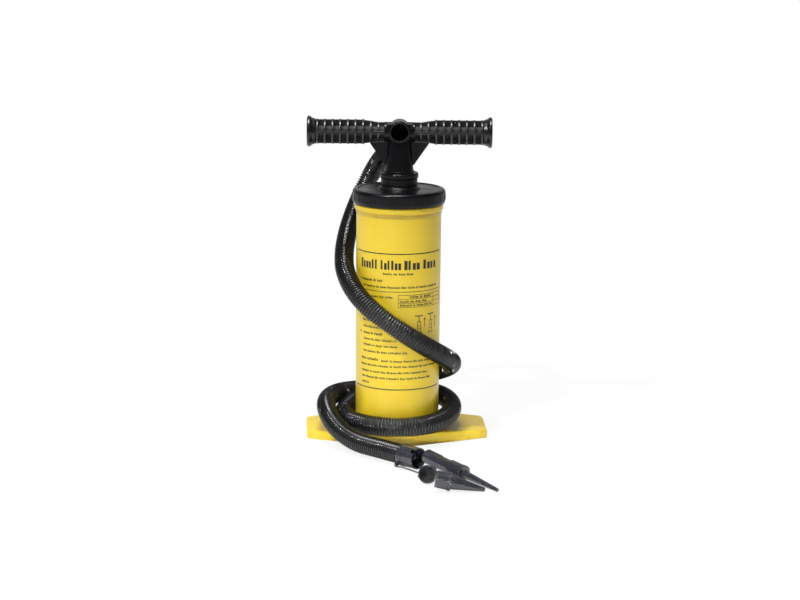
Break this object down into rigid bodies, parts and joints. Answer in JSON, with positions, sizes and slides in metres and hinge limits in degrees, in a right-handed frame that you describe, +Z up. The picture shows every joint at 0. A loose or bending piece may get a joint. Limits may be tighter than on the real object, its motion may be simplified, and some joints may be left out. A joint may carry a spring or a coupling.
{
  "type": "double action hand pump",
  "caption": "Upright two-way hand air pump with T handle, yellow barrel, screw cap, foot plate, ribbed hose wound round it and loose nozzles.",
  "frame": {"origin": "on the floor under the barrel's axis, at the underside of the foot plate's centre pad", "axes": "+X along the handle, +Y to the back of the pump where the hose leaves the handle, +Z up along the barrel's axis"},
  "size_m": [0.2657, 0.4681, 0.4561],
  "materials": {
    "yellow_plastic": "glossy moulded plastic",
    "black_plastic": "satin moulded plastic",
    "hose_plastic": "soft ribbed plastic with a sheen",
    "nozzle_plastic": "satin grey-black plastic",
    "seal_rubber": "matte rubber",
    "inner_plastic": "pale moulded plastic",
    "screw_steel": "zinc plated",
    "print_ink": "thin dark print"
  },
  "bodies": {
    "barrel": {"barrel": "yellow_plastic", "foot_plate": "yellow_plastic", "foot_plate_screws": "screw_steel", "hose": "hose_plastic", "hose_end_cuff": "black_plastic", "tether_ring": "black_plastic", "tether_strap": "black_plastic", "nozzle_long": "nozzle_plastic", "nozzle_cone": "nozzle_plastic", "valve_adapter": "nozzle_plastic"},
    "cap": {"screw_cap": "black_plastic", "cap_gasket": "seal_rubber", "rod_collar": "black_plastic", "collar_nut": "black_plastic", "rod_bush": "inner_plastic", "rod_seal": "seal_rubber"},
    "plunger": {"handle_hub": "black_plastic", "grip_left": "black_plastic", "grip_right": "black_plastic", "rod_screws": "screw_steel", "intake_port": "black_plastic", "port_cuff": "black_plastic", "rod_tube": "inner_plastic", "air_tube": "inner_plastic", "air_divider": "inner_plastic", "piston_top": "inner_plastic", "piston_bottom": "inner_plastic", "piston_screws": "screw_steel", "piston_seals": "seal_rubber"},
    "inlet_disc_upper": {"inlet_disc_upper": "seal_rubber"},
    "outlet_disc_upper": {"outlet_disc_upper": "seal_rubber"},
    "inlet_disc_lower": {"inlet_disc_lower": "seal_rubber"},
    "outlet_disc_lower": {"outlet_disc_lower": "seal_rubber"}
  },
  "joints": [
    {"name": "plunger_slide", "type": "slide", "parent": "barrel", "child": "plunger", "axis": [0, 0, 1], "range_m": [0, 0.27]},
    {"name": "cap_turn", "type": "hinge", "parent": "barrel", "child": "cap", "pos_m": [0, 0, 0.35], "axis": [0, 0, 1], "range_deg": [0, 30]},
    {"name": "inlet_lift_upper", "type": "slide", "parent": "plunger", "child": "inlet_disc_upper", "axis": [0, 0, 1], "range_m": [0, 0.002]},
    {"name": "outlet_lift_upper", "type": "slide", "parent": "plunger", "child": "outlet_disc_upper", "axis": [0, 0, 1], "range_m": [0, 0.002]},
    {"name": "inlet_lift_lower", "type": "slide", "parent": "plunger", "child": "inlet_disc_lower", "axis": [0, 0, 1], "range_m": [0, 0.002]},
    {"name": "outlet_lift_lower", "type": "slide", "parent": "plunger", "child": "outlet_disc_lower", "axis": [0, 0, 1], "range_m": [0, 0.002]}
  ]
}
